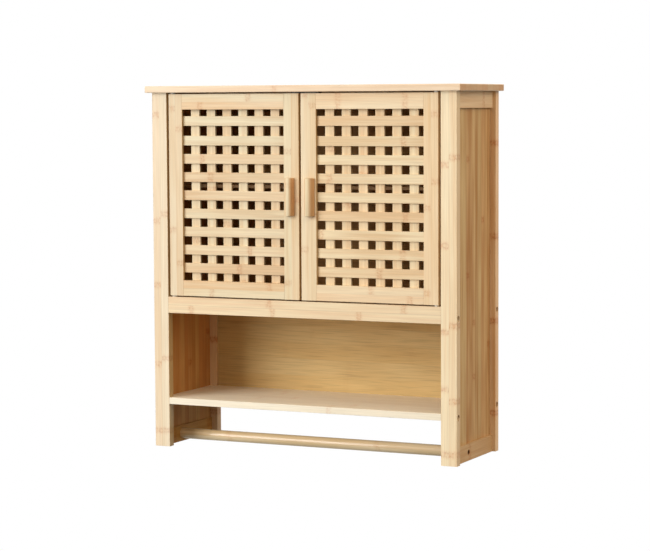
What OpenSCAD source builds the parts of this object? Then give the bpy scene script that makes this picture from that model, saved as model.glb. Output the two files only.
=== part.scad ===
// Bathroom wall cabinet in bamboo: two lattice doors over an open shelf and a towel bar.
// The origin is midway between the two wall screws, on the wall plane.
// +X is to the right, -Y to the front and +Z up.

/* [Case] */
// Width over the posts
case_w = 600; // [480:5:800]
// Height of the posts
case_h = 650; // [620:5:800]
// Depth over the posts
case_d = 200; // [160:5:260]

/* [Stock] */
// Width of the posts and rails
stock_w = 30; // [28:1:36]
// Thickness of the posts, front rails and doors
stock_t = 15; // [15:0.5:18]
// Thickness of the top, the floor and the lower shelf
board_t = 12; // [12:0.5:16]
// Thickness of the side and back panels
panel_t = 4; // [3:0.5:4.5]
// Chamfer on the long edges
edge_ease = 0.4; // [0.3:0.1:1.5]

/* [Top board] */
// Overhang at the sides and the front
top_over = 10; // [4:1:25]

/* [Heights] */
// Underside of the lower shelf above the feet
shelf_h = 79; // [60:1:100]
// Clear height of the open bay
bay_h = 156.5; // [120:0.5:170]
// Underside of the inner shelf above the front rail
inner_shelf_h = 199; // [120:1:220]
// Thickness of the inner shelf
inner_shelf_t = 6; // [6:0.5:12]
// Space between the inner shelf and the doors
inner_shelf_set = 30; // [3:1:40]

/* [Sides] */
// Thickness of the side rails
side_rail_t = 12; // [11:0.5:14]
// Set-back of the side rails from the posts' outer faces
side_rail_in = 6; // [4:0.5:8]
// Set-back of the side panels from the side rails
side_panel_in = 5; // [3:0.5:5.5]
// Depth of the grooves that hold the panels
groove_d = 4; // [2:0.5:4]
// Set-back of the back panels from the rear posts' front faces
back_panel_in = 6; // [4:0.5:7]
// Height of the cleats under the inner shelf
cleat_h = 12; // [10:1:20]

/* [Doors] */
// Gap between a door and its post
door_gap_side = 4.5; // [4.5:0.5:6]
// Gap between the two doors
door_gap_mid = 4; // [2:0.5:6]
// Gap above and below a door
door_gap_z = 2.5; // [1.5:0.5:4]
// Width of the stile at the middle of the cabinet
meeting_stile_w = 30; // [29:0.5:40]
// Width of the stile at the pivots
hinge_stile_w = 27.5; // [27:0.5:40]
// Width of the door's top and bottom rails
door_rail_w = 28.2; // [26:0.1:40]
// Length of the door rails' tenons
door_tenon_l = 15; // [8:1:15]

/* [Lattice] */
// Width of a lattice strip
strip_w = 17.5; // [10:0.5:20]
// Thickness of a lattice strip
strip_t = 5; // [3:0.5:5]
// Length of strip that is held behind the door frame
strip_lap = 6; // [3:0.5:7]
// Number of strips across a door
cross_count = 9; // [3:1:10]
// Number of upright strips
upright_count = 6; // [3:1:7]
// Hole height between the frame and the first strip across
cross_end = 14.4; // [8:0.1:20]
// Hole width between the frame and the first upright strip
upright_end = 13.2; // [8:0.1:20]
// Height of the top strip above its even place
top_strip_up = 2.4; // [0:0.1:4]

/* [Pivots] */
// Diameter of a pivot pin
pin_d = 4; // [3:0.5:4]
// Depth of a pin in the top board
pin_in_board = 8; // [6:0.5:9]
// Depth of a pin in the front rail
pin_in_rail = 7; // [5:0.5:7]
// Depth of a pin in the door
pin_in_door = 10; // [6:0.5:16]
// Distance of a pin from the door's side edge
pin_edge = 5.5; // [5:0.1:5.5]
// Outer diameter of a bush
bush_d = 7; // [6:0.5:7.5]
// Diameter of a bush's flange
flange_d = 9; // [8:0.5:10]

/* [Handles] */
// Length of a handle
handle_l = 68; // [50:1:140]
// Width of a handle where it meets the door
handle_base_w = 18.5; // [14:0.5:20]
// Width of a handle's front face
handle_face_w = 11; // [6:0.5:13]
// Projection of a handle
handle_out = 13; // [12:0.5:25]
// Distance of a handle's centre from the door's free edge
handle_in = 18; // [12:0.5:18]
// Height between a handle's two screws
handle_pitch = 46; // [32:1:46]

/* [Towel bar] */
// Diameter of the towel bar
bar_d = 20; // [12:0.5:20]
// Distance of the bar's centre behind the front
bar_set = 70; // [30:1:130]
// Depth of the bar's sockets
bar_socket = 2.5; // [1:0.5:2.5]

/* [Fasteners] */
// Shank diameter of the case screws
case_screw_d = 4; // [3:0.5:4]
// Length of the case screws below the head
case_screw_l = 45; // [35:1:55]
// Counterbore diameter for the case and bar screws
case_bore_d = 10; // [8:0.5:10]
// Counterbore depth in the posts
case_bore_deep = 9; // [5:0.5:9]
// Diameter of the dowels
dowel_d = 6; // [5:0.5:6]
// Length of the dowels
dowel_l = 20; // [14:1:20]
// Spacing of the two wall screws
wall_pitch = 400; // [200:10:400]
// Diameter of the wall screw holes
wall_hole_d = 5.5; // [4:0.5:8]
// Head diameter of the wall screws
wall_head_d = 11; // [9:0.5:14]

/* [Catch] */
// Width of the catch
catch_w = 54; // [54:1:70]
// Depth of the catch
catch_d = 15; // [14:1:20]
// Height of the catch
catch_h = 14; // [13:0.5:18]
// Distance of a magnet from the middle
magnet_x = 12; // [10:0.5:13]

/* [Hidden] */
$fn = 48;
// Clearances: panels and boards in their grooves, tenons in mortises, dowels and screws in
// their holes, a running pin in its bush, and a piece that stops just short of its seat
slot_gap = 0.15;
tenon_gap = 0.1;
hole_gap = 0.05;
run_gap = 0.05;
seat_gap = 0.3;
// Cuts run past the surface by this much
past = 1;

// Levels, from the feet upwards
top_z = stock_w / 2;
foot_z = top_z - case_h;
shelf_z = foot_z + shelf_h;
shelf_top = shelf_z + board_t;
rail_z = shelf_top + bay_h;
rail_top = rail_z + stock_w;
floor_z = rail_z + (stock_w - board_t) / 2;
inner_z = rail_top + inner_shelf_h;
hang_z = top_z - stock_w;

// Depths: the wall is at zero
front_y = -case_d;
front_in_y = front_y + stock_t;
rear_in_y = -stock_t;
front_mid_y = front_y + stock_t / 2;
rear_mid_y = -stock_t / 2;
back_y = rear_in_y + back_panel_in;

// Widths, on the right-hand side
post_out_x = case_w / 2;
post_x = post_out_x - stock_w;
side_out_x = post_out_x - side_rail_in;
side_x = side_out_x - side_rail_t;
panel_out_x = side_out_x - side_panel_in;
panel_x = panel_out_x - panel_t;

// Tenons of the side rails, kept clear of the panel grooves
tenon_l = 10;
tenon_t = 6;
tenon_edge = 5;
tenon_h = stock_w - tenon_edge - groove_d - 3;
side_mid_x = side_x + side_rail_t / 2;

// Shallow grooves that hold the floor and the back panels' ends
board_groove = 3;

// Case screws and dowels in the ends of the rails
screw_up = 10;
dowel_up = 18;
screw_head_d = case_bore_d - 1;
screw_head_h = 3;
hang_dowel_z = hang_z + 10;
top_dowel_x = post_x + 8;
top_dowel_in = 8;

// Doors
door_x0 = door_gap_mid / 2;
door_x1 = post_x - door_gap_side;
door_z0 = rail_top + door_gap_z;
door_z1 = top_z - door_gap_z;
open_x0 = door_x0 + meeting_stile_w;
open_x1 = door_x1 - hinge_stile_w;
open_z0 = door_z0 + door_rail_w;
open_z1 = door_z1 - door_rail_w;
cross_y = front_y + (stock_t - 2 * strip_t);
upright_y = cross_y + strip_t;
door_tenon_t = 5;
door_tenon_edge = 5;
door_tenon_h = door_rail_w - strip_lap - door_tenon_edge - 1;
cross_pitch = (open_z1 - open_z0 - strip_w - 2 * cross_end) / (cross_count - 1);
upright_pitch = (open_x1 - open_x0 - strip_w - 2 * upright_end) / (upright_count - 1);

// Pivots
pivot_x = door_x1 - pin_edge;
pivot_y = front_mid_y;
flange_t = door_gap_z - seat_gap;
bush_l = pin_in_door + 0.5;

// Handles, drawn for the right-hand door
handle_x = door_x0 + handle_in;
handle_z = (door_z0 + door_z1) / 2;
handle_lean = 1;
handle_ease = 3.2;
handle_screw_d = 3.5;
handle_screw_l = stock_t + 9;

// Towel bar
bar_y = front_y + bar_set;
bar_z = foot_z + stock_w / 2;
bar_x = side_x + bar_socket;
bar_bore = 5;

// Catch and strike plates
strike_t = 1.2;
strike_w = 14;
strike_h = 13;
strike_z = door_z1 - 0.5 - strike_h / 2;
magnet_w = 12;
magnet_h = 8;
magnet_l = 8;
magnet_y = front_in_y + strike_t + seat_gap;
catch_y = magnet_y + 1.5;
catch_screw_x = catch_w / 2 - 4.5;
small_screw_d = 3;

bamboo_pale = [0.95, 0.86, 0.70];
bamboo_warm = [0.86, 0.71, 0.50];
bamboo_panel = [0.78, 0.61, 0.40];
bamboo_dark = [0.66, 0.44, 0.26];
beech = [0.80, 0.66, 0.48];
zinc = [0.72, 0.73, 0.75];
nylon = [0.93, 0.92, 0.88];
brown_plastic = [0.30, 0.21, 0.15];
magnet_grey = [0.25, 0.25, 0.27];

// A box between two opposite corners
module box(low, high) {
  translate(low) cube(high - low);
}

// Rectangle with chamfered corners, from its low corner
module eased_section(w, h) {
  e = edge_ease;
  polygon([[e, 0], [w - e, 0], [w, e], [w, h - e], [w - e, h], [e, h], [0, h - e], [0, e]]);
}

// Board between two opposite corners with its long edges chamfered; it runs along "x", "y" or "z"
module board(low, high, along) {
  s = high - low;
  translate(low) {
    if (along == "x") rotate([90, 0, 90]) linear_extrude(s.x) eased_section(s.y, s.z);
    if (along == "y") translate([0, s.y, 0]) rotate([90, 0, 0]) linear_extrude(s.y) eased_section(s.x, s.z);
    if (along == "z") linear_extrude(s.z) eased_section(s.x, s.y);
  }
}

// The left-hand pieces mirror the right-hand ones
module on_side(side) {
  if (side == "left") mirror([1, 0, 0]) children();
  else children();
}

module both_sides() {
  on_side("right") children();
  on_side("left") children();
}

// A round bar or hole of length l that starts at p and runs along X, Y or Z; a negative l runs back
module rod(p, l, d, along) {
  turn = along == "x" ? [0, 90, 0] : along == "y" ? [-90, 0, 0] : [0, 0, 0];
  translate(p) rotate(turn) translate([0, 0, min(l, 0)]) cylinder(d = d, h = abs(l));
}

// Countersunk screw: its flat top is at the origin and its point towards +Z
module wood_screw(d, head_d, l) {
  cone = (head_d - d) / 2;
  point = d * 0.7;
  difference() {
    union() {
      cylinder(d1 = head_d, d2 = d, h = cone);
      translate([0, 0, cone]) cylinder(d = d, h = l - cone - point);
      translate([0, 0, l - point]) cylinder(d1 = d, d2 = d * 0.3, h = point);
    }
    cross_recess(head_d);
  }
}

// The hole for such a screw, with its countersink
module screw_hole(d, head_d, l) {
  hole_d = d + 2 * hole_gap;
  wide = head_d + 2 * hole_gap;
  cone = (wide - hole_d) / 2;
  cylinder(d = hole_d, h = l + hole_gap);
  cylinder(d1 = wide, d2 = hole_d, h = cone);
  translate([0, 0, -past]) cylinder(d = wide, h = past);
}

// Screw with a flat cylindrical head: the head's underside is at the origin
module case_screw(d, l) {
  point = d * 0.7;
  difference() {
    union() {
      translate([0, 0, -screw_head_h]) cylinder(d = screw_head_d, h = screw_head_h);
      cylinder(d = d, h = l - point);
      translate([0, 0, l - point]) cylinder(d1 = d, d2 = d * 0.3, h = point);
    }
    translate([0, 0, -screw_head_h]) cross_recess(screw_head_d);
  }
}

// Cross recess cut into a screw head whose top lies at the origin
module cross_recess(head_d) {
  arm = head_d * 0.62;
  slot = head_d * 0.13;
  deep = head_d * 0.2;
  for (turn = [0, 90]) rotate(turn) box([-arm / 2, -slot / 2, -past], [arm / 2, slot / 2, deep]);
}

// Case screws: one at each front and rear end of the front and rear rails and the lower shelf
function case_screw_places() = [
  for (y = [front_mid_y, rear_mid_y]) for (z = [shelf_z + board_t / 2, rail_z + screw_up])
    [post_out_x - case_bore_deep, y, z]
];

module case_screw_holes() {
  for (p = case_screw_places()) {
    rod(p, case_bore_deep + past, case_bore_d, "x");
    rod(p, -case_screw_l - hole_gap, case_screw_d + 2 * hole_gap, "x");
  }
}

// Dowels between the posts and the ends of the front, rear and hanging rails
function rail_dowel_places() = [
  [post_x, front_mid_y, rail_z + dowel_up],
  [post_x, rear_mid_y, rail_z + dowel_up],
  [post_x, rear_mid_y, hang_dowel_z]
];

module rail_dowel_holes() {
  for (p = rail_dowel_places()) dowel(p, dowel_l / 2, dowel_l / 2, hole_gap, "x");
}

// Dowel, or its hole with a gap around it, that reaches back and ahead of its place along an axis
module dowel(p, back, ahead, gap, along) {
  way = along == "x" ? [1, 0, 0] : along == "y" ? [0, 1, 0] : [0, 0, 1];
  rod(p - (back + gap) * way, back + ahead + 2 * gap, dowel_d + 2 * gap, along);
}

// Cleat dowels stand in the middle of the cleats' ends
cleat_mid = [(post_x + panel_x) / 2, 0, inner_z - cleat_h / 2];
cleat_dowel_post = 8;
cleat_dowel_cleat = dowel_l - cleat_dowel_post;

module cleat_dowels_at(gap) {
  dowel([cleat_mid.x, front_in_y, cleat_mid.z], cleat_dowel_post, cleat_dowel_cleat, gap, "y");
  dowel([cleat_mid.x, rear_in_y, cleat_mid.z], cleat_dowel_cleat, cleat_dowel_post, gap, "y");
}

// Top dowels stand in the posts' upper ends
module top_dowels_at(gap) {
  for (y = [front_mid_y, rear_mid_y])
    dowel([top_dowel_x, y, top_z], dowel_l - top_dowel_in, top_dowel_in, gap, "z");
}

// Space of a side rail's tenon, or with a gap its mortise, at both ends of the rail
module side_tenons(upper, gap) {
  z = upper ? top_z - tenon_edge - tenon_h : foot_z + tenon_edge;
  for (y = [front_in_y - tenon_l, rear_in_y])
    box([side_mid_x - tenon_t / 2 - gap, y - gap, z - gap],
        [side_mid_x + tenon_t / 2 + gap, y + tenon_l + gap, z + tenon_h + gap]);
}

// Space of the side panel, whose edges stand in the posts and side rails
module side_panel_space(gap) {
  d = groove_d - seat_gap + gap;
  box([panel_x - gap, front_in_y - d, foot_z + stock_w - d],
      [panel_out_x + gap, rear_in_y + d, hang_z + d]);
}

// Space of a back panel: z0 and z1 are the edges of what it stands between
module back_panel_space(z0, z1, gap) {
  d = groove_d - seat_gap + gap;
  dz = board_groove - seat_gap + gap;
  box([-post_x - d, back_y - gap, z0 - dz], [post_x + d, back_y + panel_t + gap, z1 + dz]);
}

module back_panel_spaces(gap) {
  back_panel_space(rail_top, hang_z, gap);
  back_panel_space(shelf_top, rail_z, gap);
}

// Space of the floor: its front and rear edges stand in the rails
module floor_space(gap) {
  d = board_groove - seat_gap + gap;
  x = post_x - slot_gap + gap;
  box([-x, front_in_y - d, floor_z - gap], [x, rear_in_y + d, floor_z + board_t + gap]);
}

// Board between the posts that widens to the side panels behind them
module board_to_sides(z, t) {
  x = panel_x - slot_gap;
  box([-x, front_in_y + slot_gap, z], [x, rear_in_y - slot_gap, z + t]);
}

module top_board() {
  color(bamboo_warm) difference() {
    x = post_out_x + top_over;
    low = [-x, front_y - top_over, top_z];
    high = [x, 0, top_z + board_t];
    intersection() {
      board(low, high, "x");
      board(low, high, "y");
    }
    both_sides() {
      top_dowels_at(hole_gap);
      rod([pivot_x, pivot_y, top_z - past], past + pin_in_board + hole_gap, pin_d + 2 * hole_gap, "z");
      catch_screw_hole();
    }
  }
}

// Post on the right-hand side, at the front or at the wall
module post(rear) {
  y = rear ? -stock_t : front_y;
  difference() {
    board([post_x, y, foot_z], [post_out_x, y + stock_t, top_z], "z");
    for (upper = [true, false]) side_tenons(upper, tenon_gap);
    side_panel_space(slot_gap);
    case_screw_holes();
    rail_dowel_holes();
    cleat_dowels_at(hole_gap);
    top_dowels_at(hole_gap);
    if (rear) back_panel_spaces(slot_gap);
  }
}

module front_post_left() color(bamboo_pale) on_side("left") post(false);
module front_post_right() color(bamboo_pale) on_side("right") post(false);
module rear_post_left() color(bamboo_warm) on_side("left") post(true);
module rear_post_right() color(bamboo_warm) on_side("right") post(true);

// Top or bottom rail of the right-hand side, with tenons in the posts
module side_rail(upper) {
  z = upper ? hang_z : foot_z;
  difference() {
    union() {
      board([side_x, front_in_y, z], [side_out_x, rear_in_y, z + stock_w], "y");
      side_tenons(upper, 0);
    }
    side_panel_space(slot_gap);
    if (!upper) {
      rod([side_x - past, bar_y, bar_z], past + bar_socket, bar_d + 2 * hole_gap, "x");
      rod([side_x, bar_y, bar_z], side_rail_t + past, case_screw_d + 2 * hole_gap, "x");
      rod([side_out_x + past, bar_y, bar_z], -past - bar_bore, case_bore_d, "x");
    }
  }
}

module side_top_rail_left() color(bamboo_warm) on_side("left") side_rail(true);
module side_top_rail_right() color(bamboo_warm) on_side("right") side_rail(true);
module side_bottom_rail_left() color(bamboo_warm) on_side("left") side_rail(false);
module side_bottom_rail_right() color(bamboo_warm) on_side("right") side_rail(false);

module side_panel_left() color(bamboo_panel) on_side("left") side_panel_space(0);
module side_panel_right() color(bamboo_panel) on_side("right") side_panel_space(0);

// Rail across the cabinet between two posts
module cross_rail(y, z) {
  board([-post_x, y, z], [post_x, y + stock_t, z + stock_w], "x");
}

module front_rail() {
  color(bamboo_pale) difference() {
    cross_rail(front_y, rail_z);
    floor_space(slot_gap);
    both_sides() {
      case_screw_holes();
      rail_dowel_holes();
      rod([pivot_x, pivot_y, rail_top + past], -past - pin_in_rail - hole_gap, pin_d + 2 * hole_gap, "z");
    }
  }
}

module rear_rail() {
  color(bamboo_warm) difference() {
    cross_rail(-stock_t, rail_z);
    floor_space(slot_gap);
    back_panel_spaces(slot_gap);
    both_sides() {
      case_screw_holes();
      rail_dowel_holes();
    }
  }
}

// The rail that carries the cabinet: two countersunk holes for the wall screws
module hanging_rail() {
  color(bamboo_warm) difference() {
    cross_rail(-stock_t, hang_z);
    back_panel_spaces(slot_gap);
    both_sides() {
      rail_dowel_holes();
      rod([wall_pitch / 2, past, 0], -stock_t - 2 * past, wall_hole_d, "y");
      translate([wall_pitch / 2, -stock_t, 0]) rotate([-90, 0, 0])
        cylinder(d1 = wall_head_d, d2 = wall_hole_d, h = (wall_head_d - wall_hole_d) / 2);
    }
  }
}

module floor_board() {
  color(bamboo_panel) union() {
    board_to_sides(floor_z, board_t);
    floor_space(0);
  }
}

module lower_shelf() {
  color(bamboo_pale) difference() {
    union() {
      board([-post_x, front_y, shelf_z], [post_x, 0, shelf_top], "x");
      board_to_sides(shelf_z, board_t);
    }
    back_panel_spaces(slot_gap);
    both_sides() case_screw_holes();
  }
}

module inner_shelf() {
  x = panel_x - slot_gap;
  color(bamboo_warm)
    board([-x, front_in_y + inner_shelf_set, inner_z], [x, rear_in_y - past, inner_z + inner_shelf_t], "x");
}

// Cleat between the posts that carries one end of the inner shelf
module shelf_cleat() {
  difference() {
    box([post_x, front_in_y, inner_z - cleat_h], [panel_x, rear_in_y, inner_z]);
    cleat_dowels_at(hole_gap);
  }
}

module shelf_cleat_left() color(bamboo_panel) on_side("left") shelf_cleat();
module shelf_cleat_right() color(bamboo_panel) on_side("right") shelf_cleat();

module back_panel_upper() color(bamboo_panel) back_panel_space(rail_top, hang_z, 0);
module back_panel_lower() color(bamboo_panel) back_panel_space(shelf_top, rail_z, 0);

bar_screw_l = 30;

module towel_bar() {
  color(bamboo_warm) difference() {
    rod([-bar_x, bar_y, bar_z], 2 * bar_x, bar_d, "x");
    both_sides() bar_screw_hole();
  }
}

// Pilot hole in the bar's end
module bar_screw_hole() {
  reach = bar_screw_l - (side_rail_t - bar_bore - bar_socket);
  rod([bar_x + past, bar_y, bar_z], -past - reach - hole_gap, case_screw_d + 2 * hole_gap, "x");
}

module towel_bar_screws() {
  color(zinc) both_sides()
    translate([side_out_x - bar_bore, bar_y, bar_z]) rotate([0, -90, 0]) case_screw(case_screw_d, bar_screw_l);
}

module case_screws() {
  color(zinc) both_sides() for (p = case_screw_places())
    translate(p) rotate([0, -90, 0]) case_screw(case_screw_d, case_screw_l);
}

module rail_dowels() {
  color(beech) both_sides() for (p = rail_dowel_places()) dowel(p, dowel_l / 2, dowel_l / 2, 0, "x");
}

module cleat_dowels() color(beech) both_sides() cleat_dowels_at(0);
module top_dowels() color(beech) both_sides() top_dowels_at(0);

// Steel pins that stand in the top board and in the front rail
module pivot_pins() {
  color(zinc) both_sides() {
    rod([pivot_x, pivot_y, door_z1 - pin_in_door], pin_in_door + door_gap_z + pin_in_board, pin_d, "z");
    rod([pivot_x, pivot_y, rail_top - pin_in_rail], pin_in_rail + door_gap_z + pin_in_door, pin_d, "z");
  }
}

// Catch under the top board: a plastic body with a magnet for each door
module catch_body() {
  color(brown_plastic) difference() {
    box([-catch_w / 2, catch_y, top_z - catch_h], [catch_w / 2, catch_y + catch_d, top_z]);
    both_sides() {
      magnet_space(slot_gap);
      catch_screw_hole();
    }
  }
}

// One magnet, or its pocket with a gap around it
module magnet_space(gap) {
  z = top_z - catch_h / 2;
  box([magnet_x - magnet_w / 2 - gap, magnet_y, z - magnet_h / 2 - gap],
      [magnet_x + magnet_w / 2 + gap, magnet_y + magnet_l + gap, z + magnet_h / 2 + gap]);
}

module catch_magnets() color(magnet_grey) both_sides() magnet_space(0);

catch_screw_l = catch_h + 8;

module at_catch_screw() {
  translate([catch_screw_x, catch_y + catch_d / 2, top_z - catch_h]) children();
}

module catch_screw_hole() at_catch_screw() screw_hole(small_screw_d, 2 * small_screw_d, catch_screw_l);
module catch_screws() {
  color(zinc) both_sides() at_catch_screw() wood_screw(small_screw_d, 2 * small_screw_d, catch_screw_l);
}

// The bushes' holes in the door's top and bottom edges
module bush_holes() {
  d = bush_d + 2 * hole_gap;
  rod([pivot_x, pivot_y, door_z1 + past], -past - bush_l - 2 * hole_gap, d, "z");
  rod([pivot_x, pivot_y, door_z0 - past], past + bush_l + 2 * hole_gap, d, "z");
}

// Tenons of the door's two rails, or with a gap their mortises
module door_tenons(gap) {
  y = front_mid_y - door_tenon_t / 2;
  for (z = [door_z0 + door_tenon_edge, door_z1 - door_tenon_edge - door_tenon_h])
    box([open_x0 - door_tenon_l - gap, y - gap, z - gap],
        [open_x1 + door_tenon_l + gap, y + door_tenon_t + gap, z + door_tenon_h + gap]);
}

// Rebate in the stiles behind the strips that run across
module stile_rebate() {
  box([open_x0 - strip_lap, cross_y, open_z0], [open_x1 + strip_lap, front_in_y + past, open_z1]);
}

// Rebate in the door's rails behind the upright strips
module rail_rebate() {
  box([open_x0, upright_y, open_z0 - strip_lap], [open_x1, front_in_y + past, open_z1 + strip_lap]);
}

module hinge_stile() {
  difference() {
    board([open_x1, front_y, door_z0], [door_x1, front_in_y, door_z1], "z");
    door_tenons(tenon_gap);
    stile_rebate();
    bush_holes();
  }
}

module meeting_stile() {
  difference() {
    board([door_x0, front_y, door_z0], [open_x0, front_in_y, door_z1], "z");
    door_tenons(tenon_gap);
    stile_rebate();
    at_handle_screws() screw_hole(handle_screw_d, 2 * handle_screw_d, handle_screw_l);
    at_strike_screw() screw_hole(small_screw_d, small_screw_d, strike_screw_l);
  }
}

module hinge_stile_left() color(bamboo_pale) on_side("left") hinge_stile();
module hinge_stile_right() color(bamboo_pale) on_side("right") hinge_stile();
module meeting_stile_left() color(bamboo_pale) on_side("left") meeting_stile();
module meeting_stile_right() color(bamboo_pale) on_side("right") meeting_stile();

// Top or bottom rail of a door, with a tenon in each stile
module door_rail(upper) {
  z = upper ? open_z1 : door_z0;
  difference() {
    union() {
      board([open_x0, front_y, z], [open_x1, front_in_y, z + door_rail_w], "x");
      intersection() {
        door_tenons(0);
        box([door_x0, front_y, z], [door_x1, front_in_y, z + door_rail_w]);
      }
    }
    rail_rebate();
  }
}

module door_top_rail_left() color(bamboo_pale) on_side("left") door_rail(true);
module door_top_rail_right() color(bamboo_pale) on_side("right") door_rail(true);
module door_bottom_rail_left() color(bamboo_pale) on_side("left") door_rail(false);
module door_bottom_rail_right() color(bamboo_pale) on_side("right") door_rail(false);

// Lattice strips that run across, in front
module cross_strips() {
  x0 = open_x0 - strip_lap + slot_gap;
  x1 = open_x1 + strip_lap - slot_gap;
  for (i = [0 : cross_count - 1]) {
    z = open_z0 + cross_end + i * cross_pitch + (i == cross_count - 1 ? top_strip_up : 0);
    box([x0, cross_y, z], [x1, upright_y, z + strip_w]);
  }
}

// Upright lattice strips, behind
module upright_strips() {
  z0 = open_z0 - strip_lap + slot_gap;
  z1 = open_z1 + strip_lap - slot_gap;
  for (i = [0 : upright_count - 1]) {
    x = open_x0 + upright_end + i * upright_pitch;
    box([x, upright_y, z0], [x + strip_w, front_in_y, z1]);
  }
}

module cross_strips_left() color(bamboo_pale) on_side("left") cross_strips();
module cross_strips_right() color(bamboo_pale) on_side("right") cross_strips();
module upright_strips_left() color(bamboo_warm) on_side("left") upright_strips();
module upright_strips_right() color(bamboo_warm) on_side("right") upright_strips();

// Handle: a bar whose sides lean in towards a narrower front, leaning to the cabinet's middle
module handle() {
  b = handle_base_w / 2;
  f = handle_face_w / 2;
  e = handle_ease;
  out = [
    [-b, 0], [b, 0],
    [f - handle_lean + e * (b - f) / handle_out, -handle_out + e], [f - handle_lean - e, -handle_out],
    [-f - handle_lean + e, -handle_out], [-f - handle_lean - e * (b - f) / handle_out, -handle_out + e]
  ];
  difference() {
    translate([handle_x, front_y, handle_z - handle_l / 2]) linear_extrude(handle_l) polygon(out);
    at_handle_screws() screw_hole(handle_screw_d, 2 * handle_screw_d, handle_screw_l);
  }
}

// The handle's screws start at the back of the stile
module at_handle_screws() {
  for (s = [-1, 1])
    translate([handle_x, front_in_y, handle_z + s * handle_pitch / 2]) rotate([90, 0, 0]) children();
}

module handle_left() color(bamboo_dark) on_side("left") handle();
module handle_right() color(bamboo_dark) on_side("right") handle();

module handle_screws() {
  at_handle_screws() wood_screw(handle_screw_d, 2 * handle_screw_d, handle_screw_l);
}

module handle_screws_left() color(zinc) on_side("left") handle_screws();
module handle_screws_right() color(zinc) on_side("right") handle_screws();

strike_screw_l = strike_t + 9;

// The strike plate's screw starts at the plate's rear face
module at_strike_screw() {
  translate([magnet_x, front_in_y + strike_t, strike_z]) rotate([90, 0, 0]) children();
}

module strike_plate() {
  difference() {
    box([magnet_x - strike_w / 2, front_in_y, strike_z - strike_h / 2],
        [magnet_x + strike_w / 2, front_in_y + strike_t, strike_z + strike_h / 2]);
    at_strike_screw() screw_hole(small_screw_d, small_screw_d + 2 * strike_t - 1, strike_screw_l);
  }
}

module strike_screw() {
  at_strike_screw() wood_screw(small_screw_d, small_screw_d + 2 * strike_t - 1, strike_screw_l);
}

module strike_plate_left() color(zinc) on_side("left") strike_plate();
module strike_plate_right() color(zinc) on_side("right") strike_plate();
module strike_screw_left() color(zinc) on_side("left") strike_screw();
module strike_screw_right() color(zinc) on_side("right") strike_screw();

// Flanged bush for a pivot pin: the flange fills the gap outside the door's edge
module bush() {
  difference() {
    union() {
      translate([0, 0, -bush_l]) cylinder(d = bush_d, h = bush_l + flange_t);
      cylinder(d = flange_d, h = flange_t);
    }
    translate([0, 0, -bush_l - past]) cylinder(d = pin_d + 2 * run_gap, h = bush_l + flange_t + 2 * past);
  }
}

module pivot_bushes() {
  translate([pivot_x, pivot_y, door_z1]) bush();
  translate([pivot_x, pivot_y, door_z0]) mirror([0, 0, 1]) bush();
}

module pivot_bushes_left() color(nylon) on_side("left") pivot_bushes();
module pivot_bushes_right() color(nylon) on_side("right") pivot_bushes();

top_board();
front_post_left();
front_post_right();
rear_post_left();
rear_post_right();
side_top_rail_left();
side_top_rail_right();
side_bottom_rail_left();
side_bottom_rail_right();
side_panel_left();
side_panel_right();
front_rail();
rear_rail();
hanging_rail();
floor_board();
lower_shelf();
inner_shelf();
shelf_cleat_left();
shelf_cleat_right();
back_panel_upper();
back_panel_lower();
towel_bar();
towel_bar_screws();
case_screws();
rail_dowels();
cleat_dowels();
top_dowels();
pivot_pins();
catch_body();
catch_magnets();
catch_screws();
hinge_stile_left();
hinge_stile_right();
meeting_stile_left();
meeting_stile_right();
door_top_rail_left();
door_top_rail_right();
door_bottom_rail_left();
door_bottom_rail_right();
cross_strips_left();
cross_strips_right();
upright_strips_left();
upright_strips_right();
handle_left();
handle_right();
handle_screws_left();
handle_screws_right();
strike_plate_left();
strike_plate_right();
strike_screw_left();
strike_screw_right();
pivot_bushes_left();
pivot_bushes_right();
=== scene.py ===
import math

import bpy
from mathutils import Matrix, Vector


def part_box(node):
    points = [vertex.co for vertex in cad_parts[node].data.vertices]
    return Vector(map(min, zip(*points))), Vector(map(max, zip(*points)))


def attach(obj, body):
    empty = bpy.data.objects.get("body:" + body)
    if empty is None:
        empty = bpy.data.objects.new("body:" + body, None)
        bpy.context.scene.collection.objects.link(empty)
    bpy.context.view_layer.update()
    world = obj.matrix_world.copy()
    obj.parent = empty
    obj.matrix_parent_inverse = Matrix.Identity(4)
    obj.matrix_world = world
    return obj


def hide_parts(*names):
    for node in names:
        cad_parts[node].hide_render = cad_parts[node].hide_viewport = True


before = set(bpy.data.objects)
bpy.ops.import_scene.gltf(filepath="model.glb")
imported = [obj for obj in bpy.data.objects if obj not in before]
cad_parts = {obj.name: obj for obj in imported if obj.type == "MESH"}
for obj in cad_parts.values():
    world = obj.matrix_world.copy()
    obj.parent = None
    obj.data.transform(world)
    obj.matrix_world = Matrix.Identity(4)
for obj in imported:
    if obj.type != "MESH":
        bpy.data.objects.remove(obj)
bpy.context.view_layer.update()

# The camera stands to the right of the doors' middle, level with the cabinet's top. It looks to
# the left and a little down at the cabinet, as in the photograph. Its angles are in radians.
turned, lowered, tilted = 0.445, 0.0783, -0.005
bpy.ops.object.camera_add(location=(1.72132, -3.70769, -0.00454))
camera = bpy.context.object
aim = Matrix.Rotation(turned, 3, "Z") @ Matrix.Rotation(math.pi / 2 - lowered, 3, "X")
camera.rotation_euler = (aim @ Matrix.Rotation(tilted, 3, "Z")).to_euler()
camera.data.sensor_width = 36
camera.data.lens = 121.94
camera.data.clip_end = 60
bpy.context.scene.camera = camera
bpy.context.scene.view_settings.view_transform = "Standard"

# The studio is a white room with a large soft box to the left, a little above the cabinet, and a
# small one to the right. Soft light also comes from a bright wall on the right and, more weakly,
# from behind. The camera and gloss see the room plain white.

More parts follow.
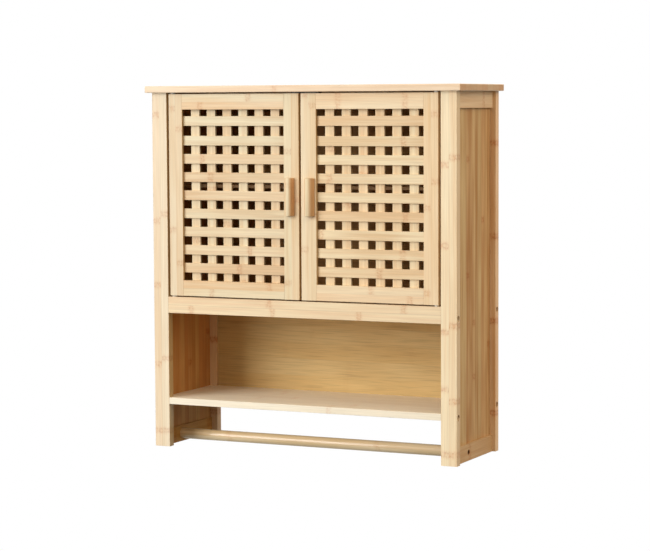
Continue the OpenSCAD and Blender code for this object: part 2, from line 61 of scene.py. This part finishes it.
def add(tree, kind, sockets=(), **settings):
    """Adds a shader node with its settings. Sockets go by name, or by number in the node's own order, and get
    a value, or a link from a node or one of its outputs."""
    made = tree.nodes.new("ShaderNode" + kind)
    for key, value in settings.items():
        setattr(made, key, value)
    for key, value in dict(sockets).items():
        if isinstance(value, bpy.types.Node):
            tree.links.new(value.outputs[0], made.inputs[key])
        elif isinstance(value, bpy.types.NodeSocket):
            tree.links.new(value, made.inputs[key])
        else:
            made.inputs[key].default_value = value
    return made


def linear(code):
    """An sRGB hex colour as linear numbers."""
    shares = [int(code[i:i + 2], 16) / 255 for i in (1, 3, 5)]
    return [s / 12.92 if s <= 0.04045 else ((s + 0.055) / 1.055) ** 2.4 for s in shares] + [1]


room = bpy.data.worlds.new("white_room")
room.use_nodes = True
bpy.context.scene.world = room
tree = room.node_tree
tree.nodes.clear()
ray = add(tree, "LightPath")
seen = add(tree, "Math", {0: ray.outputs["Is Camera Ray"], 1: ray.outputs["Is Glossy Ray"]},
           operation="MAXIMUM")
seen = add(tree, "Math", {0: seen, 1: ray.outputs["Is Transmission Ray"]}, operation="MAXIMUM")

# Light grows towards the bright wall and, less, towards the wall behind, and fades below the horizon
bright_wall = (0.66, -0.34, 0.67)
way = add(tree, "TexCoord").outputs["Generated"]
right = add(tree, "VectorMath", {0: way, 1: bright_wall}, operation="DOT_PRODUCT").outputs["Value"]
right = add(tree, "MapRange", {0: right, 1: 0.1, 2: 0.95, 3: 0.05, 4: 1.35})
way = add(tree, "SeparateXYZ", {0: way})
behind = add(tree, "MapRange", {0: way.outputs["Y"], 1: 0.1, 2: 0.9, 3: 0.0, 4: 0.3})
above = add(tree, "MapRange", {0: way.outputs["Z"], 1: -0.02, 2: 0.32, 3: 0.08, 4: 1.0})
weak = add(tree, "Math", {0: right, 1: behind}, operation="ADD")
weak = add(tree, "Math", {0: weak, 1: above}, operation="MULTIPLY")
soft = add(tree, "Background", {"Color": linear("#FFEEDA"), "Strength": weak})
white = add(tree, "Background", {"Color": (1, 1, 1, 1), "Strength": 1.0})
mixed = add(tree, "MixShader", {0: seen, 1: soft, 2: white})
add(tree, "OutputWorld", {"Surface": mixed})

for name, place, target, size, colour, energy in (
        ("soft_box_left", (-2.8, -4.2, 0.8), (0, -0.1, -0.25), 3.2, "#FFFFFF", 236),
        ("soft_box_right", (1.6, -0.05, 0.45), (0.3, -0.1, -0.25), 1.1, "#FFF0DE", 7)):
    bpy.ops.object.light_add(type="AREA", location=place)
    lamp = bpy.context.object
    lamp.name = name
    lamp.rotation_euler = (Vector(target) - lamp.location).to_track_quat("-Z", "Y").to_euler()
    lamp.data.shape = "SQUARE"
    lamp.data.size = size
    lamp.data.color = linear(colour)[:3]
    lamp.data.energy = energy

# The floor lies a good metre under the cabinet, as under one on a wall. It is pale, keeps the
# cabinet's shadow and runs out into the white of the room, but throws little light back up.
bpy.ops.object.select_all(action="DESELECT")
bpy.ops.mesh.primitive_circle_add(vertices=96, radius=4.0, fill_type="NGON", location=(0, 0, -1.75))
floor = bpy.context.object
floor.name = "floor"
pale_floor = bpy.data.materials.new("pale_floor")
pale_floor.use_nodes = True
tree = pale_floor.node_tree
tree.nodes.clear()
place = add(tree, "TexCoord")
far = add(tree, "VectorMath", {0: place.outputs["Object"]}, operation="LENGTH")
run_out = add(tree, "MapRange", {0: far.outputs["Value"], 1: 1.2, 2: 3.6}, interpolation_type="SMOOTHSTEP")
ray = add(tree, "LightPath")
shown = add(tree, "Mix", {0: ray.outputs["Is Diffuse Ray"], 6: linear("#F4F3F1"), 7: linear("#454341")},
            data_type="RGBA").outputs[2]
seen = add(tree, "Math", {0: 1.0, 1: ray.outputs["Is Diffuse Ray"]}, operation="SUBTRACT")
run_out = add(tree, "Math", {0: run_out, 1: seen}, operation="MULTIPLY")
paint = add(tree, "BsdfPrincipled", {"Base Color": shown, "Roughness": 0.7})
glow = add(tree, "Emission", {"Color": (1, 1, 1, 1), "Strength": 1.0})
mixed = add(tree, "MixShader", {0: run_out, 1: paint, 2: glow})
add(tree, "OutputMaterial", {"Surface": mixed})
floor.data.materials.append(pale_floor)

# The four posts are bamboo, each of two strips 15 mm wide, planed and lacquered. The front and rear
# posts of a side are held together by its rails; screws in their outer faces hold the cross rails.

def laminated_bamboo(name, along, across, corner, strip, pale="#EEDFBC", warm="#E6CDA4", blush="#FFF3EC",
                     knots=None, spacing=210, mark=1.0, joint=1.0, streaks=0.5, fibre=1.0, dashes=0,
                     gloss=0.2, rough=0.47, flank_shade="#FFFFFF", seed=0):
    """Bamboo strips glued side by side under a matt lacquer: the eye sees strips of slightly different tone,
    fine fibres, and brown knots with two rows of marks. The grain runs along one axis, and the strips, of the
    given width and thickness in mm, lie side by side across the other. They are counted from just off the
    corner, so that no face lies in a glue joint. Knots are given for each strip in mm from the corner, or
    else come about every so many mm, shifted from strip to strip."""
    through = ({"X", "Y", "Z"} - {along, across}).pop()
    material = bpy.data.materials.new(name)
    material.use_nodes = True
    tree = material.node_tree
    tree.nodes.clear()

    # Object coordinates in mm from the corner, turned so that X runs along the grain
    off_face = 0.0004
    place = add(tree, "TexCoord")
    start = [corner[i] - (0 if "XYZ"[i] == along else off_face) for i in range(3)]
    mm = add(tree, "Mapping", {"Vector": place.outputs["Object"], "Location": start, "Scale": (0.001,) * 3},
             vector_type="TEXTURE")
    part = add(tree, "SeparateXYZ", {0: mm})
    board = add(tree, "CombineXYZ",
                {0: part.outputs[along], 1: part.outputs[across], 2: part.outputs[through]})

    # Each strip has its own random tone, hue and shift along the grain
    shares = add(tree, "VectorMath", {0: board, 1: (1, *strip)}, operation="DIVIDE")
    whole = add(tree, "VectorMath", {0: shares}, operation="FLOOR")
    cell = add(tree, "VectorMath", {0: whole, 1: (0, 1, 1), 2: (seed + 0.5, 0.5, 0.5)},
               operation="MULTIPLY_ADD")
    chance = add(tree, "TexWhiteNoise", {"Vector": cell}, noise_dimensions="3D")
    own = add(tree, "SeparateColor", {0: chance.outputs["Color"]})
    shift = add(tree, "VectorMath", {0: chance.outputs["Color"], 3: 400}, operation="SCALE")
    strand = add(tree, "VectorMath", {0: board, 1: shift}, operation="ADD")

    # Noise at sizes in mm along and across the grain. Fibres are about 0.3 mm wide; they are drawn
    # 1.4 mm wide so that they show, over streaks 7 mm wide and slow changes of tone.
    grains = []
    for length, thick, detail in ((70, 1.4, 3), (240, 7, 2), (130, 45, 1), (13, 6, 2), (5, 2.6, 1)):
        size = add(tree, "VectorMath", {0: strand, 1: (1 / length, 1 / thick, 1 / thick)},
                   operation="MULTIPLY")
        grains.append(add(tree, "TexNoise", {"Vector": size, "Scale": 1, "Detail": detail}))
    fine, broad, slow, waver, speck = grains

    # Distance from the next knot in mm, a little uneven over the strip's width. Given knots lie on
    # rows far apart, one row for each strip, so that a strip shows only its own.
    waver = add(tree, "MapRange", {0: waver, 1: 0.25, 2: 0.75, 3: -1.6, 4: 1.6})
    reach = add(tree, "Math", {0: part.outputs[along], 1: waver}, operation="ADD")
    if knots:
        apart = 5000
        count = add(tree, "SeparateXYZ", {0: whole})
        row = add(tree, "Math", {0: count.outputs["Y"], 1: apart}, operation="MULTIPLY")
        spot = add(tree, "CombineXYZ", {0: reach, 1: row})
        away = None
        for number, places in knots.items():
            for at in places:
                step = add(tree, "VectorMath", {0: spot, 1: (at, apart * number, 0)}, operation="DISTANCE")
                step = step.outputs["Value"]
                away = step if away is None else add(tree, "Math", {0: away, 1: step}, operation="MINIMUM")
    else:
        most = 7.0 * spacing
        moved = add(tree, "Math", {0: own.outputs["Green"], 1: most, 2: reach}, operation="MULTIPLY_ADD")
        away = add(tree, "Math", {0: moved, 1: spacing / 2}, operation="PINGPONG")

    # Tone of the strip, drifting along it and streaked by bundles of fibre
    tone = add(tree, "MapRange", {0: own.outputs["Red"], 3: 0.15, 4: 0.85})
    drift = add(tree, "MapRange", {0: slow, 1: 0.3, 2: 0.7, 3: -0.3, 4: 0.3})
    tone = add(tree, "Math", {0: tone, 1: drift}, operation="ADD")
    drift = add(tree, "MapRange", {0: broad, 1: 0.3, 2: 0.7, 3: -streaks, 4: streaks})
    tone = add(tree, "Math", {0: tone, 1: drift}, operation="ADD", use_clamp=True)
    colour = add(tree, "Mix", {0: tone, 6: linear(pale), 7: linear(warm)}, data_type="RGBA").outputs[2]
    rosy = add(tree, "Mix", {0: own.outputs["Blue"], 6: linear("#FFFFFF"), 7: linear(blush)},
               data_type="RGBA").outputs[2]
    colour = add(tree, "Mix", {0: 1.0, 6: colour, 7: rosy}, data_type="RGBA",
                 blend_type="MULTIPLY").outputs[2]
    shade = add(tree, "MapRange", {0: fine, 1: 0.3, 2: 0.7, 3: 1 - 0.09 * fibre, 4: 1 + 0.05 * fibre})

    # A knot is a soft brown band, 10 mm to each side, with a thin broken row of marks 3 mm from its
    # middle on both sides
    band = add(tree, "MapRange", {0: away, 1: 1.0, 2: 10.0, 3: 1.0, 4: 0.0}, interpolation_type="SMOOTHSTEP")
    patch = add(tree, "MapRange", {0: speck, 1: 0.35, 2: 0.65, 3: 0.12 * mark, 4: 0.42 * mark})
    band = add(tree, "Math", {0: band, 1: patch}, operation="MULTIPLY")
    row = add(tree, "Math", {0: away, 1: 3.2}, operation="SUBTRACT")
    row = add(tree, "Math", {0: row}, operation="ABSOLUTE")
    row = add(tree, "MapRange", {0: row, 1: 0.3, 2: 1.9, 3: 1.0, 4: 0.0}, interpolation_type="SMOOTHSTEP")
    broken = add(tree, "MapRange", {0: speck, 1: 0.38, 2: 0.62, 3: 0.02 * mark, 4: 0.15 * mark})
    row = add(tree, "Math", {0: row, 1: broken}, operation="MULTIPLY")
    for share, tint in ((band, "#E2B293"), (row, "#AB7B55")):
        colour = add(tree, "Mix", {0: share, 6: colour, 7: linear(tint)}, data_type="RGBA",
                     blend_type="MULTIPLY").outputs[2]

    # A glue joint is a thin darker line at a strip's edge. Dashes are darker bundles of fibre, 60 mm
    # long and 1.6 mm wide.
    inside = add(tree, "VectorMath", {0: shares}, operation="FRACTION")
    inside = add(tree, "SeparateXYZ", {0: inside})
    inside = add(tree, "Math", {0: inside.outputs["Y"], 1: 0.5}, operation="PINGPONG")
    seam = add(tree, "MapRange", {0: inside, 1: 0.0, 2: 0.6 / strip[0], 3: 1 - 0.2 * joint, 4: 1.0})
    shade = add(tree, "Math", {0: shade, 1: seam}, operation="MULTIPLY")
    if dashes:
        size = add(tree, "VectorMath", {0: strand, 1: (1 / 60, 1 / 1.6, 1 / 1.6)}, operation="MULTIPLY")
        dash = add(tree, "TexNoise", {"Vector": size, "Scale": 1, "Detail": 1})
        dash = add(tree, "MapRange", {0: dash, 1: 0.5, 2: 0.66, 3: 1.0, 4: 1 - dashes})
        shade = add(tree, "Math", {0: shade, 1: dash}, operation="MULTIPLY")
    colour = add(tree, "VectorMath", {0: colour, 3: shade}, operation="SCALE")

    # The cut ends of the fibres drink more lacquer and look darker and browner. Faces turned across
    # the strips get a painted shade, darker and browner, for the shaded sides of a piece.
    facing = add(tree, "SeparateXYZ", {0: place.outputs["Normal"]})
    for axis, dark, start in ((along, "#C8B095", 0.8), (across, flank_shade, 0.3)):
        if dark != "#FFFFFF":
            end_grain_or_flank_shade = add(tree, "Math", {0: facing.outputs[axis]}, operation="ABSOLUTE")
            end_grain_or_flank_shade = add(tree, "MapRange", {0: end_grain_or_flank_shade, 1: start, 2: 0.95})
            brown = add(tree, "Mix", {0: end_grain_or_flank_shade, 6: linear("#FFFFFF"), 7: linear(dark)},
                        data_type="RGBA").outputs[2]
            colour = add(tree, "Mix", {0: 1.0, 6: colour, 7: brown}, data_type="RGBA",
                         blend_type="MULTIPLY").outputs[2]

    # Matt lacquer: the fibres stand up a few hundredths of a mm, and the knots a tenth
    matt = add(tree, "MapRange", {0: fine, 1: 0.3, 2: 0.7, 3: rough + 0.05, 4: rough - 0.05})
    height = add(tree, "Math", {0: row, 1: 0.15}, operation="MULTIPLY")
    height = add(tree, "Math", {0: fine, 1: 0.04, 2: height}, operation="MULTIPLY_ADD")
    relief = add(tree, "Bump", {"Height": height, "Distance": 0.001, "Strength": 0.5})
    lacquer = add(tree, "BsdfPrincipled", {"Base Color": colour, "Roughness": matt, "IOR": 1.5,
                                           "Specular IOR Level": gloss, "Normal": relief})
    add(tree, "OutputMaterial", {"Surface": lacquer})
    return material


def coat(material, *names):
    """Gives CAD nodes a material."""
    for name in names:
        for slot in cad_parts[name].material_slots:
            slot.material = material


# A strip 60 mm thick is a single layer, because no post, rail or board is that thick
one_layer = 60
# Where a side colour is given, the posts' side faces get a painted shade, darker and browner. The rear posts'
# colours are browner than the front ones: painted shade for their faces in the recess behind the front posts.
posts = {
    "front_post_left": ("#E9DBBF", "#E2CEAC", "#DCC9A8", 1.0,
                        {0: (610, 416, 298, 152, 29), 1: (429, 163, 29)}),
    "front_post_right": ("#F2E1BD", "#EACFA6", "#E9E4DA", 1.2,
                         {0: (523, 383, 233, 134, 20), 1: (536, 245, 113, 20)}),
    "rear_post_left": ("#E2C094", "#D5A776", "#F1EEE7", 1.6,
                       {0: (585, 372, 204), 1: (548, 350, 180, 40)}),
    "rear_post_right": ("#E6C89C", "#D8B07E", "#FFFFFF", 1.8,
                        {0: (480, 300, 120), 1: (557, 390, 237, 70)}),
}
for number, (post, (pale, warm, flank_shade, mark, places)) in enumerate(posts.items()):
    coat(laminated_bamboo(post + "_bamboo", "Z", "X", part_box(post)[0], (15.4, one_layer), pale=pale,
                          warm=warm, knots=places, mark=mark, joint=0.6, gloss=0.3, flank_shade=flank_shade,
                          seed=3 + number), post)

# Each side frame has a top and a bottom rail of bamboo, tenoned into the posts and set back from
# their faces. The bottom rail holds the towel bar.
# The left bottom rail is darker and browner than the right one: painted shade for its inner face under the
# shelf.
side_rails = {
    "side_top_rail_left": ("#DCC094", "#CCA878"),
    "side_bottom_rail_left": ("#C89D59", "#BA8A47"),
    "side_top_rail_right": ("#E9D7B5", "#DCC098"),
    "side_bottom_rail_right": ("#D1BC93", "#C1A276"),
}
for number, (rail, (pale, warm)) in enumerate(side_rails.items()):
    coat(laminated_bamboo(rail + "_bamboo", "Y", "Z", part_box(rail)[0], (30, 40), pale=pale, warm=warm,
                          spacing=130, gloss=0.05, seed=11 + number), rail)

# The side panels are thin bamboo sheet of upright strips, darker than the frame and streaked with
# olive and reddish brown. They stand loosely in grooves in the posts and rails. Their twelve strips
# are counted from the front post.
panel_knots = {1: (64, 430), 4: (505, 300), 6: (215, 118), 9: (395,), 11: (170,)}
# The left panel is browner than the right one: painted shade for its inner face in the bay and under the
# shelf.
for side, pale, warm, joint in (("left", "#D2A66A", "#C08C50", 0.4), ("right", "#D0B584", "#AE8350", 0.8)):
    corner = Vector((0, -0.185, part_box("side_panel_" + side)[0].z))
    coat(laminated_bamboo("side_panel_" + side + "_bamboo", "Z", "Y", corner, (14.17, 2000), pale=pale,
                          warm=warm, blush="#F6DFD4", knots=panel_knots, mark=1.3, joint=joint, streaks=0.35,
                          fibre=1.3, gloss=0.04, seed=21), "side_panel_" + side)

# Rails and boards between the side frames: the front rail under the doors, the rear and hanging
# rails, the floor, and the shelves. All are bamboo with the strips lying along the cabinet. The
# inner shelf lies loosely on two cleats, which are dowelled between the posts.
coat(laminated_bamboo("front_rail_bamboo", "X", "Z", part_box("front_rail")[0], (15.4, one_layer),
                      pale="#EBD8B4", warm="#E5C8A2", knots={0: (47, 213, 384), 1: (207, 470)}, seed=31),
     "front_rail")
for number, rail in enumerate(("rear_rail", "hanging_rail")):
    coat(laminated_bamboo(rail + "_bamboo", "X", "Z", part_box(rail)[0], (15.4, one_layer),
                          seed=33 + number), rail)
coat(laminated_bamboo("floor_bamboo", "X", "Y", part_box("floor_board")[0], (24, one_layer), pale="#DDB585",
                      warm="#CC9B66", mark=0.6, seed=36), "floor_board")
# The lower shelf's colour is almost white: its own pale tone, with a painted reflection of the white room on
# its top added in.
coat(laminated_bamboo("lower_shelf_bamboo", "X", "Y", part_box("lower_shelf")[0], (25, one_layer),
                      pale="#F9F1DC", warm="#F5EBD4", blush="#FFFFFF", spacing=500, mark=0.5, joint=0.5,
                      seed=37), "lower_shelf")
# The inner shelf is darker than the other boards: painted shade for its edge, seen through the lattice.
coat(laminated_bamboo("inner_shelf_bamboo", "X", "Y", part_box("inner_shelf")[0], (24, one_layer),
                      pale="#CCAC7C", warm="#C09A68", seed=38), "inner_shelf")
for side in ("left", "right"):
    cleat = "shelf_cleat_" + side
    coat(laminated_bamboo(cleat + "_bamboo", "Y", "Z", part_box(cleat)[0], (12, 30), pale="#D9AF7A",
                          warm="#C4925E", seed=39), cleat)

# The back panels are bamboo sheet with fine dark fibres lying along the cabinet, yellower than the
# frame and almost without knots. They stand in grooves in the rear posts and rails.
# The upper panel, seen only through the lattice, is darker and redder than the lower one: painted shade for
# the inside behind the doors.
for number, (panel, pale, warm) in enumerate((("back_panel_upper", "#BE9258", "#AE7E48"),
                                              ("back_panel_lower", "#D4B881", "#C8A66D"))):
    coat(laminated_bamboo(panel + "_bamboo", "X", "Z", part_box(panel)[0], (31, one_layer), pale=pale,
                          warm=warm, blush="#FFFAF0", spacing=260, mark=0.15, joint=0.3, streaks=0.15,
                          fibre=0.7, dashes=0.15, gloss=0.1, seed=41 + number), panel)

# The top board is one bamboo panel that stands 10 mm proud of the posts at the front and the ends.
# Its edges are rounded by sanding, and dowels in the posts hold it.

def sanded_board(name, low, high, ease):
    """A board between two corners whose edges are rounded."""
    bpy.ops.object.select_all(action="DESELECT")
    bpy.ops.mesh.primitive_cube_add(size=1, location=(low + high) / 2, scale=high - low)
    board = bpy.context.object
    board.name = name
    bpy.ops.object.transform_apply(location=True, rotation=True, scale=True)
    bpy.ops.object.mode_set(mode="EDIT")
    bpy.ops.mesh.select_all(action="SELECT")
    bpy.ops.mesh.bevel(offset=ease, segments=4, profile=0.5)
    bpy.ops.object.mode_set(mode="OBJECT")
    return board


def fit(piece, body, slot, material, *stands_for):
    """Gives a new piece its material and ties it to the frame."""
    piece.data.materials.clear()
    piece.data.materials.append(material)
    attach(piece, body)
    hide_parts(*stands_for)


top_ease = 0.0014
low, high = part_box("top_board")
top = sanded_board("top_board_sanded", low, high, top_ease)
top_bamboo = laminated_bamboo("top_bamboo", "X", "Y", low, (26.25, one_layer), pale="#F8EED6",
                              warm="#F2E1C4", spacing=600, mark=0.7, seed=51)
fit(top, "cabinet", "top_bamboo", top_bamboo, "top_board")

# The towel bar is a 20 mm round of bamboo, turned and polished, that stands in shallow sockets in
# the bottom side rails, where a screw holds each end. Polish gives it a narrow bright highlight.
low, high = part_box("towel_bar")
bpy.ops.object.select_all(action="DESELECT")
bpy.ops.mesh.primitive_cylinder_add(vertices=64, radius=(high.z - low.z) / 2, depth=high.x - low.x,
                                    location=(low + high) / 2, rotation=(0, math.pi / 2, 0))
bar = bpy.context.object
bar.name = "towel_bar_turned"
bpy.ops.object.transform_apply(location=True, rotation=True, scale=True)
rim = bar.modifiers.new("rim", "BEVEL")
rim.width = 0.0012
rim.segments = 3
rim.limit_method = "ANGLE"
rim.angle_limit = math.radians(60)
bpy.ops.object.modifier_apply(modifier="rim")
bpy.ops.object.shade_smooth_by_angle(angle=math.radians(20))
bar_bamboo = laminated_bamboo("bar_bamboo", "X", "Z", low, (10, 10), pale="#E2D1AC", warm="#D6BF92",
                              spacing=300, mark=0.6, joint=0.4, gloss=0.45, rough=0.14, seed=61)
fit(bar, "cabinet", "bar_bamboo", bar_bamboo, "towel_bar")

# Each door frame has two stiles with two rails tenoned between them, of pale bamboo, each two
# strips wide. The knots of the left and right doors differ.
# Where a side colour is given, the stiles' edges, which face the door gaps and the lattice, get a painted
# shade, darker and browner.
stiles = {
    "hinge_stile_left": ("#E5DABD", "#DDCAA6", "#E0CFB4", {0: (341, 120), 1: (304, 60)}),
    "meeting_stile_left": ("#E5D9B8", "#DDC89F", "#E0CFB4", {0: (264, 30), 1: (178,)}),
    "meeting_stile_right": ("#EADCBC", "#E2CCA5", "#E0CFB4", {0: (366, 90), 1: (345, 150)}),
    "hinge_stile_right": ("#EDD7B2", "#E5C79A", "#FFF6EC", {0: (168, 20), 1: (213, 330)}),
}
for number, (stile, (pale, warm, flank_shade, places)) in enumerate(stiles.items()):
    width = (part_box(stile)[1].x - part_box(stile)[0].x) * 1000
    coat(laminated_bamboo(stile + "_bamboo", "Z", "X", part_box(stile)[0], (width / 2 + 0.4, one_layer),
                          pale=pale, warm=warm, knots=places, mark=0.85, joint=0.35, fibre=0.8,
                          flank_shade=flank_shade, seed=71 + number), stile)
door_rails = {
    "door_top_rail_left": ("#EADBBA", "#E3CBA4", {0: (52,), 1: (150,)}),
    "door_bottom_rail_left": ("#E5D6B4", "#DEC69E", {0: (73,), 1: (190,)}),
    "door_top_rail_right": ("#F0E0BE", "#E9D0A9", {0: (58, 186), 1: (58, 186)}),
    "door_bottom_rail_right": ("#EADAB8", "#E3CAA3", {0: (195,), 1: (120,)}),
}
for number, (rail, (pale, warm, places)) in enumerate(door_rails.items()):
    coat(laminated_bamboo(rail + "_bamboo", "X", "Z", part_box(rail)[0], (14.5, one_layer), pale=pale,
                          warm=warm, knots=places, mark=0.85, joint=0.35, seed=81 + number), rail)

# The lattice of each door: nine strips lie across in front and six stand upright behind them. Each
# is a single strip of bamboo with its own tone, glued into the rebate behind the frame. They are
# evenly spaced, but the top strip lies 2.4 mm higher.
strip_width = 0.0175
strip_ease = 0.0006
top_raise = 0.0024
for side, pale, warm in (("left", "#E6DCBC", "#D9C49F"), ("right", "#EBDDB9", "#DDC49B")):
    for group, count, along, across, raised, seed in (("cross_strips_", 9, "X", "Z", top_raise, 182),
                                                      ("upright_strips_", 6, "Z", "X", 0, 196)):
        low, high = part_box(group + side)
        axis = "XYZ".index(across)
        pitch = (high[axis] - raised - low[axis] - strip_width) / (count - 1)
        end = high.copy()
        end[axis] = low[axis] + strip_width
        strips = sanded_board(group + side + "_sanded", low, end, strip_ease)
        row = strips.modifiers.new("row", "ARRAY")
        row.count = count
        row.use_relative_offset = False
        row.use_constant_offset = True
        row.constant_offset_displace = [pitch if i == axis else 0 for i in range(3)]
        bpy.ops.object.modifier_apply(modifier="row")
        last_strip = high[axis] - raised - strip_width - strip_ease
        for corner in strips.data.vertices:
            if corner.co[axis] > last_strip:
                corner.co[axis] += raised
        corner = low.copy()
        corner[axis] -= (pitch - strip_width) / 2
        bamboo = laminated_bamboo(group + side + "_bamboo", along, across, corner, (pitch * 1000, one_layer),
                                  pale=pale, warm=warm, spacing=430, joint=0, seed=seed + (side == "left"))
        fit(strips, "door_" + side, "lattice_bamboo", bamboo, group + side)

# A handle is a short bar of bamboo whose sides lean in to a narrower front, 1 mm towards the other
# door. Its long front edges are well rounded and its ends only eased. The front is pale and the sides
# get a painted shade, darker and browner. Two screws hold it.
front_share = 11 / 18.5
front_shift = 0.001
front_round = 0.0052
end_ease = 0.0012
for side, mirror in (("left", -1), ("right", 1)):
    low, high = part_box("handle_" + side)
    bpy.ops.object.select_all(action="DESELECT")
    bpy.ops.mesh.primitive_cube_add(size=1, location=(low + high) / 2, scale=high - low)
    handle = bpy.context.object
    handle.name = "handle_" + side + "_shaped"
    bpy.ops.object.transform_apply(location=True, rotation=True, scale=True)
    bpy.ops.object.mode_set(mode="EDIT")
    bpy.ops.mesh.select_mode(type="FACE")
    bpy.ops.mesh.select_all(action="DESELECT")
    bpy.ops.object.mode_set(mode="OBJECT")
    for face in handle.data.polygons:
        face.select = face.normal.y < -0.9
    bpy.ops.object.mode_set(mode="EDIT")
    bpy.ops.transform.resize(value=(front_share, 1, 1), center_override=(low + high) / 2)
    bpy.ops.transform.translate(value=(-front_shift * mirror, 0, 0))
    bpy.ops.mesh.select_mode(type="EDGE")
    bpy.ops.mesh.select_all(action="DESELECT")
    bpy.ops.object.mode_set(mode="OBJECT")
    for edge in handle.data.edges:
        ends = [handle.data.vertices[i].co for i in edge.vertices]
        in_front = max(end.y for end in ends) < low.y + 0.0001
        upright = abs(ends[0].z - ends[1].z) > 0.01
        edge.select = in_front and upright
    bpy.ops.object.mode_set(mode="EDIT")
    bpy.ops.mesh.bevel(offset=front_round, segments=9, profile=0.5)
    bpy.ops.object.mode_set(mode="OBJECT")
    easing = handle.modifiers.new("easing", "BEVEL")
    easing.width = end_ease
    easing.segments = 3
    easing.limit_method = "ANGLE"
    easing.angle_limit = math.radians(30)
    bpy.ops.object.modifier_apply(modifier="easing")
    bpy.ops.object.shade_smooth_by_angle(angle=math.radians(40))
    bamboo = laminated_bamboo("handle_" + side + "_bamboo", "Z", "X", low, (40, 40), pale="#EADDBF",
                              warm="#E2D1AB", blush="#FFFBF6", spacing=400, mark=0.5, joint=0,
                              flank_shade="#ECC8AC", seed=101 + mirror)
    fit(handle, "door_" + side, "handle_bamboo", bamboo, "handle_" + side)

# The doors turn on zinc-plated steel pins, grey and shiny, in the top board and the front rail. Each
# pin runs in a bush of moulded nylon, milky and matt, whose flange keeps the door off the rail.

def plain_finish(name, colour, dark, grain, roughness, **shader):
    """A finish whose tone and gloss vary a little in spots of the given size in mm."""
    material = bpy.data.materials.new(name)
    material.use_nodes = True
    tree = material.node_tree
    tree.nodes.clear()
    place = add(tree, "TexCoord")
    spots = add(tree, "TexNoise", {"Vector": place.outputs["Object"], "Scale": 1000 / grain, "Detail": 4})
    tone = add(tree, "MapRange", {0: spots, 1: 0.35, 2: 0.65})
    colours = add(tree, "Mix", {0: tone, 6: linear(dark), 7: linear(colour)}, data_type="RGBA").outputs[2]
    rough = add(tree, "MapRange", {0: spots, 1: 0.3, 2: 0.7, 3: roughness + 0.06, 4: roughness - 0.06})
    relief = add(tree, "Bump", {"Height": spots, "Distance": 0.00004, "Strength": 0.4})
    surface = add(tree, "BsdfPrincipled", {"Base Color": colours, "Roughness": rough, "Normal": relief,
                                           **shader})
    add(tree, "OutputMaterial", {"Surface": surface})
    return material


zinc = plain_finish("zinc_plate", "#C3C6CA", "#A9ADB2", 1.2, roughness=0.35, Metallic=1.0)
nylon = plain_finish("moulded_nylon", "#ECE9E0", "#E0DCD0", 2.0, roughness=0.5, IOR=1.53)
coat(zinc, "pivot_pins")
coat(nylon, "pivot_bushes_left", "pivot_bushes_right")

# Black phosphated screws, dull and dark, hold the case and the bar from deep bores; their black also
# stands for painted shade in the bores. Beech dowels hold the rails, the cleats and the top.
# Zinc-plated screws from behind hold the handles.
black_screws_and_bore_shade = plain_finish("black_phosphate_bore_shade", "#2B2825", "#1D1B19", 0.8, roughness=0.55, Metallic=1.0)
beech = plain_finish("turned_beech", "#D9B98A", "#C9A274", 3.0, roughness=0.6)
coat(black_screws_and_bore_shade, "case_screws", "towel_bar_screws")
coat(zinc, "handle_screws_left", "handle_screws_right")
coat(beech, "rail_dowels", "cleat_dowels", "top_dowels")

# The catch under the top board is moulded brown plastic, evenly matt, with two dull ferrite magnets.
# A zinc-plated steel plate on the back of each door meets its magnet.
plastic = plain_finish("brown_abs", "#4A3426", "#40291C", 2.5, roughness=0.45, IOR=1.53)
ferrite = plain_finish("ferrite", "#3A3A3C", "#2C2C2E", 1.0, roughness=0.6)
coat(plastic, "catch_body")
coat(ferrite, "catch_magnets")
coat(zinc, "catch_screws")
coat(zinc, "strike_plate_left", "strike_plate_right", "strike_screw_left", "strike_screw_right")
